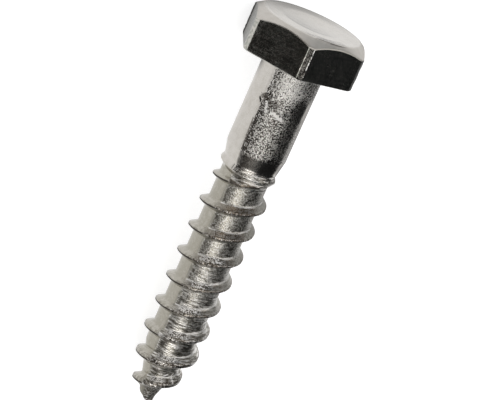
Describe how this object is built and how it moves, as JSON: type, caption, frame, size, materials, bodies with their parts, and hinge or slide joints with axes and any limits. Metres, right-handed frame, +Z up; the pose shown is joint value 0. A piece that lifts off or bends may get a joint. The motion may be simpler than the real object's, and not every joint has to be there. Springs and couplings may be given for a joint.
{
  "type": "coach screw",
  "caption": "Hexagon head coach screw (lag screw): plain shank, short lipped neck, coarse right-hand wood thread and blunt tapered point, lying on its side.",
  "frame": {"origin": "centre of the bearing face under the head, where the axis of the screw crosses it", "axes": "+X towards the head and +Z up, with the screw at rest on a level surface at z = -8.46 mm: its axis lies in the XZ plane and rises 4.1 degrees from +X at the head; +Y is level, across the screw"},
  "size_m": [0.0666, 0.019, 0.0174],
  "materials": {
    "stainless_steel": "satin, cold formed, with fine forging and rolling marks"
  },
  "bodies": {
    "root": {"coach_screw": "stainless_steel"}
  },
  "joints": []
}
